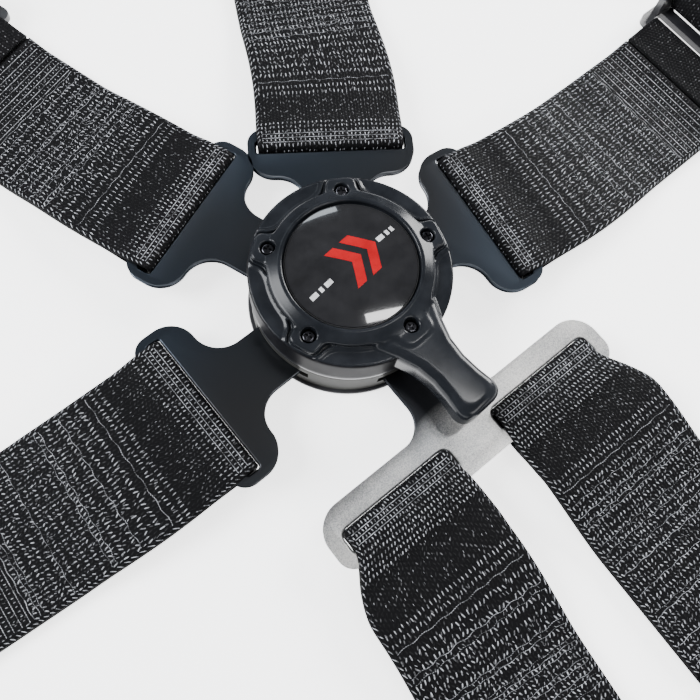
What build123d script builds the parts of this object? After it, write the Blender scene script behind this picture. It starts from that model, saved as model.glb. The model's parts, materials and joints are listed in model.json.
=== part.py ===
from build123d import *
import math
import os

# Six-point racing harness with a rotary quick-release buckle, laid out flat.
# Millimetres. +Z is up, out of the buckle's face. The origin is the centre of
# the buckle's back face, where it lies on the table. +Y points towards the
# shoulder belts and -Y towards the crotch belts, +X is the wearer's left.

# ---- driving dimensions -------------------------------------------------
# webbing
belt_width = 50.0  # two-inch webbing
crotch_width = 40.0  # the same webbing where it is bunched in the double tongue's slots
ply = 1.5  # thickness of one layer of webbing
seam = 2 * ply + 0.2  # two layers sewn together
fit_gap = 0.35  # air between webbing and the bar it goes round

# buckle body
base_radius = 32.2
base_rim = 1.4  # thickness of the base under the wall
base_thickness = 4.0
wall_radius = 31.0
wall_inner = 24.4
wall_top = 12.4
cover_radius = 31.0
cover_top = 15.2
screw_circle = 27.7
slot_half = 11.6  # half width of a tongue's opening in the wall
slot_low = 5.7
slot_high = 9.5
screw_angles = (86, 24, 150, -50, 227)  # between the openings

# tongues
plate_low = 6.1  # underside of a tongue
plate_thick = 3.0
tail_start = 6.8  # inner end of a tongue
neck_half = 8.9
pin_circle = 19.0  # radius at which the latch pins stand
latch_slack = 7.4  # free length of a tongue's latch hole behind its pin
head_start = 43.6  # where a single tongue widens to its head
flare_radius = 10.4
head_corner = 8.3
bar_corner = 5.0
eye_start = 52.0  # inner edge of a single tongue's webbing slot
eye_length = 4.5
bar = 4.0  # width of the bar that the webbing goes round
ear = 2.3  # side rails of the webbing slot
crotch_head_start = 50.2
crotch_flare_radius = 9.6
crotch_corner = 7.5
eye_corner = 0.8
plate_edge = 0.7  # rounding of the tongues' edges
crotch_eye_start = 57.0
crotch_eye_length = 7.0
crotch_ear = 4.2
crotch_centre = 18.0  # web between the two slots of the crotch tongue

# latch
pin_radius = 2.5
pin_low = 7.4
latch_lift = 2.0
lever_swing = 40.0
lever_rest = -88.0  # where the handle points when latched

# lever
lever_radius = 31.2
lever_edge = 1.8
hollow_radius = 22.1
ring_radius = 23.2  # the raised ring round the badge
pocket_circle = 27.2  # pockets between the bosses
pocket_radius = 3.0
lever_low = 15.6
deck = 26.8
boss_circle = 25.6
boss_radius = 4.5
boss_top = 28.2
ring_top = 29.9
screw_seat = 26.4  # under the heads of the lever's screws
badge_radius = 20.3
badge_floor = 28.2
dome_low = 28.8  # top of the badge's backing
dome_rim = 0.3  # straight edge under the dome
dome_rise = 1.7
handle_tip = 57.5
handle_low = 16.4
handle_thick = 9.6
lever_floor = 21.5  # top of the hollow that the release plate works in

# adjusters, measured out from the buckle's centre
adjuster_start = 146.5
adjuster_length = 38.0
adjuster_low = 2.6
adjuster_plate = 2.4
lock_at = 162.0
lock_height = 10.4
lock_travel = 2.5
lock_radius = 3.0

# stowed webbing and end fittings
stow_start = 189.0
stow_low = 1.6
stow_height = 16.0
anchor_bar = 9.0  # from the end of the stowed webbing to the anchor's bar
anchor_length = 48.0
anchor_bolt = 5.75  # radius of the bolt hole
anchor_low = 2.5
anchor_thick = 3.0
anchor_head = 17.0  # length of the anchor's broad end
anchor_lobe = 14.0  # radius round the bolt hole

# name, direction of its opening, swing of the tongue in it, how far the tongue is drawn
# out to its latch pin, turn of the strap past the tongue, extra length of the strap,
# length of the stowed webbing, released by the lever
belts = (
    ("shoulder_left", 57, -3.0, 0, 7.0, 0, 125, True),
    ("shoulder_right", 116, -6.5, 5.0, -4.0, 0, 125, True),
    ("lap_left", -9, 0.0, 0, 8.0, 0, 105, True),
    ("lap_right", 184, -4.9, 4.6, -5.0, 18, 105, False),
)
crotch_direction = -91
crotch_swing = -1
crotch_draw = 1.0
crotch_belts = (("crotch_right", -1, -6.5), ("crotch_left", 1, -1.8))
crotch_spread = 4.5  # how far each crotch strap lies outside the middle of its slot
crotch_reach = 30
crotch_stow = 85
bend_radius = 120.0  # of the sideways bend in a strap just past its tongue
seam_run = 9.5  # from a bar to where both plies of a loop meet

os.makedirs("parts", exist_ok=True)


# ---- small helpers --------------------------------------------------------
def save(shape, name):
    """One node: a solid, or a compound of separate identical solids."""
    solids = shape.solids()
    body = solids[0] if len(solids) == 1 else Compound(children=list(solids))
    export_step(body, f"parts/{name}.step")


def tube(outer, inner, low, high):
    body = Pos(0, 0, low) * extrude(Circle(outer) - Circle(inner), high - low)
    return body


def disc(radius, low, high):
    return Pos(0, 0, low) * extrude(Circle(radius), high - low)


def station(direction, swing, draw=0):
    """Frame of a belt: X runs out along it, turned by swing about its latch pin."""
    turn = Rot(0, 0, direction) * Pos(pin_circle, 0) * Rot(0, 0, swing)
    return turn * Pos(draw - pin_circle, 0)


def side_extrude(profile, width):
    """A profile drawn with X out along the belt and Y up, made width wide."""
    upright = Plane.XZ * profile
    return extrude(upright, width / 2, both=True)


def box_face(x0, x1, y0, y1):
    return Pos((x0 + x1) / 2, (y0 + y1) / 2) * Rectangle(x1 - x0, y1 - y0)


def soft_face(x0, x1, y0, y1, radius):
    return Pos((x0 + x1) / 2, (y0 + y1) / 2) * RectangleRounded(x1 - x0, y1 - y0, radius)


def sloping_band(x0, z0, x1, z1, thick):
    """A band of webbing that eases from height z0 at x0 to z1 at x1."""
    steps = 8
    upper = []
    lower = []
    for i in range(steps + 1):
        f = i / steps
        ease = f * f * (3 - 2 * f)
        slope = 6 * f * (1 - f) * (z1 - z0) / (x1 - x0)
        size = math.hypot(1, slope)
        x = x0 + f * (x1 - x0)
        z = z0 + ease * (z1 - z0)
        upper.append((x - slope / size * thick / 2, z + thick / 2 / size))
        lower.append((x + slope / size * thick / 2, z - thick / 2 / size))
    edges = [
        Spline(*upper, tangents=((1, 0), (1, 0))),
        Line(upper[-1], lower[-1]),
        Spline(*lower, tangents=((1, 0), (1, 0))),
        Line(upper[0], lower[0]),
    ]
    return make_face(edges)


def bar_loop(x0, x1, z, thick, outward):
    """Webbing round a bar from x0 to x1, closing to a seam on the outward side (+1 or -1)."""
    gap = fit_gap
    hole_half = thick / 2 + gap
    wrap_half = hole_half + ply
    outer = soft_face(x0 - gap - ply, x1 + gap + ply, z - wrap_half, z + wrap_half, 2.2)
    hole = soft_face(x0 - gap, x1 + gap, z - hole_half, z + hole_half, 0.8)
    near = x1 if outward > 0 else x0
    far = near + outward * seam_run
    flare = Polygon(
        (near, z + wrap_half), (near, z - wrap_half), (far, z - seam / 2), (far, z + seam / 2), align=None
    )
    return outer + flare - hole


# ---- buckle body ------------------------------------------------------------
directions = [b[1] for b in belts] + [crotch_direction]


def make_base():
    body = disc(base_radius, 0, base_rim)
    body = chamfer(body.edges().filter_by(GeomType.CIRCLE), 0.3)
    body += disc(wall_inner - 0.1, base_rim, base_thickness)
    for angle in screw_angles:
        seat = Cone(2.4, 1.3, 1.1, align=(Align.CENTER, Align.CENTER, Align.MIN))
        body -= Rot(0, 0, angle) * Pos(screw_circle, 0) * (seat + disc(1.3, 0, 5))
    body -= disc(4.0, -1, 5)
    body -= disc(6.0, -1, 1.2)
    return body


def make_housing():
    body = tube(wall_radius, wall_inner, base_rim, wall_top)
    opening = Box(20, 2 * slot_half, slot_high - slot_low, align=(Align.MIN, Align.CENTER, Align.MIN))
    for angle in directions:
        body -= Rot(0, 0, angle) * Pos(18, 0, slot_low) * opening
    for angle in screw_angles:
        body -= Rot(0, 0, angle) * Pos(screw_circle, 0) * disc(1.2, 0, base_thickness + 6)
    return body


def make_cover():
    body = disc(cover_radius, wall_top, cover_top)
    rims = body.edges().filter_by(GeomType.CIRCLE).group_by(Axis.Z)
    body = fillet(rims[-1], 1.6)
    body = fillet(body.edges().filter_by(GeomType.CIRCLE).group_by(Axis.Z)[0], 0.6)
    body -= disc(4.0, 0, 30)
    for angle in directions:
        well = disc(4.3, wall_top - 1, 14.2) + disc(2.6, 10, 20)
        body -= Rot(0, 0, angle) * Pos(pin_circle, 0) * well
    return body


def make_base_screws():
    screws = []
    for angle in screw_angles:
        head = Cone(2.3, 1.2, 1.0, align=(Align.CENTER, Align.CENTER, Align.MIN))
        one = Pos(0, 0, 0.1) * head + disc(1.2, 1.0, 9.5)
        one -= Pos(0, 0, 0.1) * Box(0.6, 3.0, 0.8)
        screws.append(Rot(0, 0, angle) * Pos(screw_circle, 0) * one)
    return Compound(children=screws)


def make_post():
    body = disc(4.0, 1.2, 21.0) + disc(6.0, 0.2, 1.2)
    body -= tube(6, 3.4, 19.2, 20.0)
    return body


def make_clip():
    clip = tube(5.0, 3.45, 19.25, 19.95)
    clip -= Pos(4.5, 0, 19.6) * Box(5, 3.2, 3)
    return clip


def make_coil(radius, wire, low, high, turns):
    pitch = (high - low - 2 * wire) / turns
    path = Helix(pitch, pitch * turns, radius)
    start = Plane(origin=path @ 0, z_dir=path % 0)
    coil = sweep(start * Circle(wire), path=path, is_frenet=True)
    return Pos(0, 0, low + wire) * coil


# ---- latch --------------------------------------------------------------
sprung = [b[1] for b in belts if b[5]] + [crotch_direction]
held = [b[1] for b in belts if not b[5]]
cam_low = 15.35
cam_flat = 16.1
foot_circle = 11.2  # where the release plate's feet ride on the cam
foot_radius = 0.9
foot_reach = math.degrees(foot_radius / foot_circle)
plate_rest = cam_flat + latch_lift + 0.15


def make_latch_pins():
    pins = []
    for angle in sprung:
        pin = disc(pin_radius, pin_low, plate_rest + 0.9) + disc(4.0, 9.5, 10.2)
        pin = chamfer(pin.edges().filter_by(GeomType.CIRCLE).group_by(Axis.Z)[0], 0.4)
        pins.append(Rot(0, 0, angle) * Pos(pin_circle, 0) * pin)
    return Compound(children=pins)


def make_release_plate():
    plate = tube(21.7, 6.4, plate_rest, plate_rest + 0.9)
    for angle in sprung + held:
        plate -= Rot(0, 0, angle) * Pos(pin_circle, 0) * disc(pin_radius, 10, 30)
    for k in range(3):
        foot = disc(foot_radius, cam_flat + 0.1, plate_rest)
        plate += Rot(0, 0, lever_rest + 120 * k) * Pos(foot_circle, 0) * foot
    return plate


def make_cam():
    cam = tube(14.0, 4.1, cam_low, cam_flat) + tube(6.0, 4.1, cam_flat, 21.5)
    cam -= disc(5.3, 18.9, 25)
    half_run = foot_circle * math.sin(math.radians(lever_swing / 2))
    ramp = Polygon(
        (half_run, -0.05), (half_run, 0), (-half_run, latch_lift - 0.1),
        (-half_run - 1.5, latch_lift - 0.1), (-half_run - 1.5, -0.05), align=None,
    )
    wedge = extrude(Plane.YZ * ramp, 2.0, both=True)
    for k in range(3):
        middle = lever_rest + 120 * k - lever_swing / 2 - foot_reach
        cam += Rot(0, 0, middle) * Pos(foot_circle, 0, cam_flat) * wedge
    return cam


def make_latch_springs():
    coils = []
    for angle in sprung:
        coils.append(Rot(0, 0, angle) * Pos(pin_circle, 0) * make_coil(3.3, 0.25, 10.25, 14.15, 3))
    return Compound(children=coils)


def make_held_pin():
    pin = disc(pin_radius, base_thickness, 14.0) + disc(4.0, 9.5, 10.3)
    return Rot(0, 0, held[0]) * Pos(pin_circle, 0) * pin


# ---- lever ----------------------------------------------------------------
def lever_screw_spots():
    return [Rot(0, 0, lever_rest + 72 * k) * Pos(boss_circle, 0) for k in range(5)]


def make_handle():
    pts_up = [(20, 15.0), (27, 12.0), (34, 8.4), (41, 6.7), (48, 7.0), (handle_tip - 4, 8.2)]
    upper = Spline(*pts_up)
    lower = Spline(*[(x, -y) for x, y in pts_up])
    tip = ThreePointArc(pts_up[-1], (handle_tip, 0), (pts_up[-1][0], -pts_up[-1][1]))
    root = Line(pts_up[0], (pts_up[0][0], -pts_up[0][1]))
    face = make_face([upper, lower, tip, root])
    body = Pos(0, 0, handle_low) * extrude(face, handle_thick)
    return body


def make_lever():
    skirt = disc(lever_radius, lever_low, deck)
    skirt = fillet(skirt.edges().filter_by(GeomType.CIRCLE).group_by(Axis.Z)[-1], lever_edge)
    body = skirt + make_handle()
    for spot in lever_screw_spots():
        body += spot * disc(boss_radius, lever_low + 2, boss_top)
    body += disc(ring_radius, deck - 1, ring_top - 0.5)
    body += disc(ring_radius - 0.6, deck - 1, ring_top)
    body -= disc(badge_radius + 0.25, badge_floor, 30)
    body -= disc(hollow_radius, 0, lever_floor)
    body -= tube(19.0, 9.0, lever_floor - 0.1, badge_floor - 1.2)
    for k in range(5):
        place = Rot(0, 0, lever_rest + 36 + 72 * k)
        body -= place * Pos(pocket_circle, 0) * disc(pocket_radius, deck - 0.6, 40)
    for spot in lever_screw_spots():
        body -= spot * (disc(2.3, screw_seat, 40) + disc(1.25, 16.2, 40))
    return body


def make_lever_screws():
    screws = []
    for spot in lever_screw_spots():
        head = disc(2.0, screw_seat, screw_seat + 1.3)
        head = fillet(head.edges().filter_by(GeomType.CIRCLE).group_by(Axis.Z)[-1], 0.7)
        one = head + disc(1.25, 16.4, screw_seat)
        one -= Pos(0, 0, screw_seat + 1.1) * (Box(2.4, 0.55, 1.2) + Box(0.55, 2.4, 1.2))
        screws.append(spot * one)
    return Compound(children=screws)


def make_badge_dome():
    radius = badge_radius - 0.5
    ball = (radius**2 + dome_rise**2) / (2 * dome_rise)
    dome = Pos(0, 0, dome_rise - ball) * Sphere(ball)
    cap = dome & disc(radius, 0, 5)
    rim_top = dome_low + dome_rim
    return Pos(0, 0, rim_top) * cap + disc(radius, dome_low, rim_top)


# ---- tongues ----------------------------------------------------------------
def neck_outline(reach):
    """Tongue from its tapered end under the latch pin out to the head."""
    half = neck_half
    tail = Polygon(
        (tail_start, 3.2), (tail_start, -3.2), (11.5, -5.4), (20, -half), (20, half), (11.5, 5.4),
        align=None,
    )
    shank = box_face(20, reach, -half, half)
    return tail + shank


def flare(start, radius):
    """Concave shoulders between the neck and the head."""
    block = box_face(start, start + radius, -neck_half - radius, neck_half + radius)
    for side in (1, -1):
        block -= Pos(start, side * (neck_half + radius)) * Circle(radius)
    return block


def latch_hole():
    radius = pin_radius + 0.15
    hole = box_face(pin_circle - latch_slack, pin_circle, -radius, radius)
    hole += Pos(pin_circle - latch_slack, 0) * Circle(radius)
    return hole + Pos(pin_circle, 0) * Circle(radius)


def soften(body, radius):
    """Rounds the outer edges of a flat plate above and below."""
    for group in (0, -1):
        rim = body.faces().sort_by(Axis.Z)[group].outer_wire().edges()
        body = fillet(rim, radius)
    return body


def make_tongue():
    half = belt_width / 2 + 0.5 + ear
    head_end = eye_start + eye_length + bar
    face = neck_outline(head_start + 0.1) + flare(head_start - flare_radius, flare_radius)
    face += soft_face(head_start, head_end, -half, half, head_corner)
    face += soft_face(eye_start - 2, head_end, -half, half, bar_corner)
    face -= latch_hole()
    plate = extrude(face, plate_thick)
    plate = soften(plate, plate_edge)
    eye = soft_face(eye_start, eye_start + eye_length, -half + ear, half - ear, eye_corner)
    plate -= extrude(eye, plate_thick)
    return Pos(0, 0, plate_low) * plate


def make_crotch_tongue():
    slot = crotch_width + 1.0
    half = crotch_centre / 2 + slot + crotch_ear
    head_end = crotch_eye_start + crotch_eye_length + bar
    face = neck_outline(crotch_head_start + 0.1)
    face += flare(crotch_head_start - crotch_flare_radius, crotch_flare_radius)
    face += soft_face(crotch_head_start, head_end, -half, half, crotch_corner)
    face -= latch_hole()
    plate = extrude(face, plate_thick)
    plate = soften(plate, plate_edge)
    for side in (1, -1):
        middle = side * (crotch_centre + slot) / 2
        near = crotch_eye_start
        far = near + crotch_eye_length
        eye = soft_face(near, far, middle - slot / 2, middle + slot / 2, eye_corner)
        plate -= extrude(eye, plate_thick)
    return Pos(0, 0, plate_low) * plate


# ---- belts ------------------------------------------------------------------
tongue_mid = plate_low + plate_thick / 2
adjuster_mid = adjuster_low + adjuster_plate / 2
table_mid = seam / 2 + 0.3
strap_drop = 34.0  # run in which a strap comes down from its tongue to the table


def link_tail(start, width, reach):
    """Sewn strap from start, down to the table and out to the adjuster's bar."""
    bar_at = adjuster_start + reach
    down = start + strap_drop
    flat_end = bar_at - seam_run - 12.5
    profile = sloping_band(start, tongue_mid, down, table_mid, seam)
    profile += box_face(down, flat_end, table_mid - seam / 2, table_mid + seam / 2)
    profile += sloping_band(flat_end, table_mid, bar_at - seam_run, adjuster_mid, seam)
    profile += bar_loop(bar_at, bar_at + bar, adjuster_mid, adjuster_plate, -1)
    return side_extrude(profile, width)


def bend_frame(turn, bend_at):
    """Moves what lies past the sideways bend of a strap round by turn degrees."""
    side = math.copysign(bend_radius, turn)
    return Pos(bend_at, side) * Rot(0, 0, turn) * Pos(-bend_at, -side)


def make_elbow(turn, bend_at, width):
    """The stretch of strap that bends sideways."""
    low = tongue_mid - seam / 2
    high = tongue_mid + seam / 2
    section = box_face(bend_radius - width / 2, bend_radius + width / 2, low, high)
    arc = revolve(Plane.XZ * section, Axis.Z, abs(turn))
    side = math.copysign(bend_radius, turn)
    start_angle = -90 if turn > 0 else 90 - abs(turn)
    return Pos(bend_at, side) * Rot(0, 0, start_angle) * arc


def make_link(loop_start, bar_end, loop_width, turn, reach, spread=0.0):
    """Sewn strap round a tongue's bar; past the loop it lies spread to one side."""
    bend_at = bar_end + seam_run
    loop = bar_loop(loop_start, bar_end, tongue_mid, plate_thick, 1)
    rest = make_elbow(turn, bend_at, belt_width)
    rest += bend_frame(turn, bend_at) * link_tail(bend_at, belt_width, reach)
    return side_extrude(loop, loop_width) + Pos(0, spread) * rest


def make_adjuster(width):
    half = width / 2 + 0.5
    outer = half + 3.9
    end = adjuster_start + adjuster_length
    face = soft_face(adjuster_start, end, -outer, outer, 3.0)
    face -= soft_face(adjuster_start + bar, adjuster_start + bar + 4.8, -half, half, 0.8)
    face -= soft_face(lock_at - 2.0, end - 6.0, -half + 1.5, half - 1.5, 1.5)
    plate = Pos(0, 0, adjuster_low) * extrude(face, adjuster_plate)
    cheek = soft_face(lock_at - 9.5, lock_at + 12, adjuster_low + 0.6, lock_height + 5.4, 4.8)
    cheek += box_face(lock_at - 9.5, lock_at + 12, adjuster_low + 0.6, lock_height - 2.8)
    journal = 2.08
    track = box_face(lock_at, lock_at + lock_travel, lock_height - journal, lock_height + journal)
    track += Pos(lock_at, lock_height) * Circle(journal)
    track += Pos(lock_at + lock_travel, lock_height) * Circle(journal)
    ear_plate = extrude(Plane.XZ * (cheek - track), 1.2, both=True)
    for side in (1, -1):
        plate += Pos(0, side * (half + 1.5), 0) * ear_plate
    return plate


def make_lock_bar(width):
    half = width / 2 + 0.5
    grip = Cylinder(lock_radius, 2 * half - 0.4)
    grip = chamfer(grip.edges().filter_by(GeomType.CIRCLE), 0.4)
    shape = grip + Cylinder(2.0, 2 * (half + 4.4))
    for side in (1, -1):
        head = Pos(0, 0, side * (half + 3.7)) * Cylinder(3.1, 1.4)
        shape += head
    return Pos(lock_at, 0, lock_height) * Rot(90, 0, 0) * shape


def stow_end(length):
    return stow_start + length


def make_strap(width, length):
    """Main webbing: round the lock bar, stowed in flat folds, round the anchor's bar."""
    inner = lock_radius + 0.3
    outer = inner + ply
    loop = box_face(lock_at, stow_start + 3, lock_height - outer, lock_height + outer)
    loop += Pos(lock_at, lock_height) * Circle(outer)
    hollow = box_face(lock_at, stow_start - 5, lock_height - inner, lock_height + inner)
    hollow += Pos(lock_at, lock_height) * Circle(inner)
    end = stow_end(length)
    block = soft_face(stow_start, end, stow_low, stow_low + stow_height, 2.2)
    bar_at = end + anchor_bar
    mid = anchor_low + anchor_thick / 2
    band = box_face(end - 2, bar_at - 8.5, mid - seam / 2, mid + seam / 2)
    ring = bar_loop(bar_at, bar_at + bar, mid, anchor_thick, -1)
    return side_extrude(loop - hollow + block + band + ring, width)


def make_keeper(width, length):
    middle = stow_start + length / 2
    half = width / 2 + 0.3
    hole = soft_face(-half, half, stow_low - 0.3, stow_low + stow_height + 0.3, 0.4)
    skin = soft_face(-half - 1.2, half + 1.2, stow_low - 1.5, stow_low + stow_height + 1.5, 1.6)
    ring = skin - hole
    return Pos(middle, 0, 0) * extrude(Plane.YZ * ring, 11, both=True)


def make_anchor(width, length):
    start = stow_end(length) + anchor_bar
    half = width / 2 + 0.5
    outer = half + 4.0
    head = soft_face(start, start + anchor_head, -outer, outer, 4.0)
    bolt = start + anchor_length - anchor_lobe
    lobe = Pos(bolt, 0) * Circle(anchor_lobe)
    waist = Polygon(
        (start + 12, outer - 1), (start + 12, -outer + 1), (bolt + 3, -13.6), (bolt + 3, 13.6), align=None
    )
    face = head + lobe + waist
    face -= soft_face(start + bar, start + bar + 5.0, -half, half, 0.8)
    face -= Pos(bolt, 0) * Circle(anchor_bolt)
    return Pos(0, 0, anchor_low) * extrude(face, anchor_thick)


# ---- build ------------------------------------------------------------------
save(make_base(), "base_plate")
save(make_housing(), "housing")
save(make_cover(), "top_cover")
save(make_base_screws(), "base_screws")
save(make_post(), "centre_post")
save(make_clip(), "retaining_clip")
save(make_held_pin(), "held_pin")
save(make_coil(6.2, 0.35, 9.8, 12.0, 3), "return_spring")
save(make_latch_pins(), "latch_pins")
save(make_release_plate(), "release_plate")
save(make_latch_springs(), "latch_springs")
save(make_cam(), "cam_disc")
save(make_lever(), "lever")
save(make_lever_screws(), "lever_screws")
save(disc(badge_radius - 0.1, badge_floor, dome_low), "badge_backing")
save(make_badge_dome(), "badge_dome")


def save_belt(name, beyond, length):
    """The pieces past a link strap, in the frame where its adjuster starts at adjuster_start."""
    save(beyond * make_adjuster(belt_width), f"{name}_adjuster")
    save(beyond * make_lock_bar(belt_width), f"{name}_lock_bar")
    save(beyond * make_strap(belt_width, length), f"{name}_strap")
    save(beyond * make_keeper(belt_width, length), f"{name}_keeper")
    save(beyond * make_anchor(belt_width, length), f"{name}_anchor")


for name, direction, swing, draw, turn, reach, length, released in belts:
    place = station(direction, swing, draw)
    loop_start = eye_start + eye_length
    bar_end = loop_start + bar
    save(place * make_tongue(), f"{name}_tongue")
    save(place * make_link(loop_start, bar_end, belt_width, turn, reach), f"{name}_link_strap")
    save_belt(name, place * bend_frame(turn, bar_end + seam_run) * Pos(reach), length)

place = station(crotch_direction, crotch_swing, crotch_draw)
save(place * make_crotch_tongue(), "crotch_tongue")
for name, side, turn in crotch_belts:
    shift = place * Pos(0, side * (crotch_centre + crotch_width + 1.0) / 2)
    loop_start = crotch_eye_start + 3.0
    bar_end = crotch_eye_start + crotch_eye_length + bar
    spread = side * crotch_spread
    link = make_link(loop_start, bar_end, crotch_width, turn, crotch_reach, spread)
    save(shift * link, f"{name}_link_strap")
    beyond = shift * Pos(0, spread) * bend_frame(turn, bar_end + seam_run) * Pos(crotch_reach)
    save_belt(name, beyond, crotch_stow)
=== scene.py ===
import json
import math

import bmesh
import bpy
import numpy as np
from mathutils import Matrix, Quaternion, Vector


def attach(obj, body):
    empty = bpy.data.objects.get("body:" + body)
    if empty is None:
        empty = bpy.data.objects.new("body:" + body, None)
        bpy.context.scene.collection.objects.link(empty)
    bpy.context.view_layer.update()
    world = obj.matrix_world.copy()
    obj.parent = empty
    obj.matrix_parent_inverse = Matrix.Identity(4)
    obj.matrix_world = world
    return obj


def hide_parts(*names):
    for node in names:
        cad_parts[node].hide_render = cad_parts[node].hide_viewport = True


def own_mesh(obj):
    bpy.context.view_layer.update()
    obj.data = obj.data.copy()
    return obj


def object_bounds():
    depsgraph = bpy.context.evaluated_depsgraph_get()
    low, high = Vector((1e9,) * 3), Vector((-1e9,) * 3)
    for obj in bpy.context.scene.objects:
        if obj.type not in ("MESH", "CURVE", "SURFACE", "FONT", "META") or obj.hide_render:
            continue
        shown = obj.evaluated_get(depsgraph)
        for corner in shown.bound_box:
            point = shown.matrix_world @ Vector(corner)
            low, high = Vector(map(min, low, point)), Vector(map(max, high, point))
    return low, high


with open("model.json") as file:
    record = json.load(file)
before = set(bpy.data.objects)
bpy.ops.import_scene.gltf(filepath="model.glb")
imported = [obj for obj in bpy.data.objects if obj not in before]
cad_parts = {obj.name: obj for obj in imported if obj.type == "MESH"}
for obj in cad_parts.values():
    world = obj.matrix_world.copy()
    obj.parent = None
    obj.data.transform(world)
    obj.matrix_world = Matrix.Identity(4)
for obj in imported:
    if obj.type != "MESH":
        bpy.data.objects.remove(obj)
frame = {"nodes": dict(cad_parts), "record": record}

cad_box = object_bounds()
MM = 0.001

# ---- dimensions in millimetres, as in the CAD model ------------------------
BELT_WIDTH = 50.0
CROTCH_CENTRE = 18.0  # web between the double tongue's slots
SLOT_WIDTH = 40.0  # the crotch webbing where it is bunched in its slot
PLY = 1.5
SEAM = 3.2
LOCK_AT = 162.0
PIN_CIRCLE = 19.0
PLATE_LOW = 6.1
PLATE_THICK = 3.0
TONGUE_MID = PLATE_LOW + PLATE_THICK / 2
TABLE_MID = SEAM / 2 + 0.3
NECK_HALF = 8.9
EYE_START = 52.0
EYE_LENGTH = 4.5
CROTCH_EYE_START = 57.0
CROTCH_EYE_LENGTH = 7.0
BAR = 4.0
EAR = 2.3
CROTCH_EAR = 4.2
TAIL_START = 6.8
LATCH_SLACK = 7.4  # free length of a tongue's latch hole behind its pin
LATCH_RADIUS = 2.65
HEAD_START = 43.6
FLARE = 10.4
HEAD_CORNER = 8.3
CROTCH_HEAD_START = 50.2
CROTCH_FLARE = 9.6
CROTCH_CORNER = 8.4
BAR_CORNER = 5.0
EYE_CORNER = 0.8
GAP = 0.35  # air between the webbing and a bar that it goes round
ADJUSTER_START = 146.5
ADJUSTER_MID = 3.8
ADJUSTER_PLATE = 2.4
LOCK_HEIGHT = 10.4
LOCK_RADIUS = 3.0
ANCHOR_BAR = 9.0
ANCHOR_LOW = 2.5
ANCHOR_THICK = 3.0
STOW_LENGTHS = {
    "shoulder_left": 125.0,
    "shoulder_right": 125.0,
    "lap_left": 105.0,
    "lap_right": 105.0,
    "crotch_right": 85.0,
    "crotch_left": 85.0,
}
STOW_START = 189.0
TURN = {
    "shoulder_left": 7.0,
    "shoulder_right": -4.0,
    "lap_left": 8.0,
    "lap_right": -5.0,
    "crotch_right": -6.5,
    "crotch_left": -1.8,
}
REACH = {"lap_right": 18.0, "crotch_right": 30.0, "crotch_left": 30.0}
SPREAD = 4.5  # how far a crotch strap lies outside the middle of its slot
BEND_RADIUS = 120.0
SEAM_RUN = 9.5
STOW_LOW = 1.6
STOW_HEIGHT = 16.0
KEEPER_WIDTH = 21.4
LEVER_REST = math.radians(-88)
LEVER_RADIUS = 31.2
RIM_TOP = 26.4  # below this height the lever's side wall gets a darker, duller copy of its black paint: painted shade that keeps the floor's reflection off it
BOSS_CIRCLE = 25.6
BADGE_RADIUS = 20.3
HANDLE_TIP = 57.5
RIB = 2.4  # length of one rib of the webbing
YARN = 1.15  # width of one column of its weave
UV_UNIT = 10.0  # millimetres of webbing in one unit of UV
NECK_SHADOW_FADE = 0.048  # metres from the buckle's centre at which the painted shadow on the double tongue's neck starts to fade
# metres from the buckle's centre beyond which the double tongue has no painted shade
NECK_SHADOW_END = 0.055

JOINTS = {j["name"]: j for j in frame["record"]["behaviour"]["joints"]}
NODE_BODY = {n: b for b, ns in frame["record"]["behaviour"]["bodies"].items() for n in ns}


# ---- places ------------------------------------------------------------------
class Place:
    """A belt's own frame: x runs out along the belt, y across it, z up, all in millimetres."""

    def __init__(self, x, y, angle):
        self.x = x
        self.y = y
        self.angle = angle

    def point(self, x, y, z):
        c = math.cos(self.angle)
        s = math.sin(self.angle)
        return Vector(((self.x + c * x - s * y) * MM, (self.y + s * x + c * y) * MM, z * MM))

    def shifted(self, x, y, turn=0.0):
        """The frame moved by x and y in its own axes, then turned by degrees."""
        spot = self.point(x, y, 0) / MM
        return Place(spot.x, spot.y, self.angle + math.radians(turn))


def before_bend(beyond, turn, bend_at, reach):
    """The tongue's frame, from the frame of the pieces past the strap's sideways bend."""
    side = math.copysign(BEND_RADIUS, turn)
    return beyond.shifted(bend_at - reach, side, -turn).shifted(-bend_at, -side)


def place_from_joint(name, along):
    """The frame in which the joint's position lies at x = along."""
    joint = JOINTS[name]
    ax, ay, _ = joint["axis"]
    px, py, _ = joint["pos_m"]
    return Place(px / MM - ax * along, py / MM - ay * along, math.atan2(ay, ax))


BELTS = ("shoulder_left", "shoulder_right", "lap_left", "lap_right")
LEGS = ("crotch_right", "crotch_left")
PLACES = {n: place_from_joint(n + "_lock_slide", LOCK_AT) for n in BELTS + LEGS}
CROTCH = place_from_joint("crotch_eject", CROTCH_EYE_START)
SINGLE_BEND = EYE_START + EYE_LENGTH + BAR + SEAM_RUN
TONGUES = {n: before_bend(PLACES[n], TURN[n], SINGLE_BEND, REACH.get(n, 0.0)) for n in BELTS}


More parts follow.
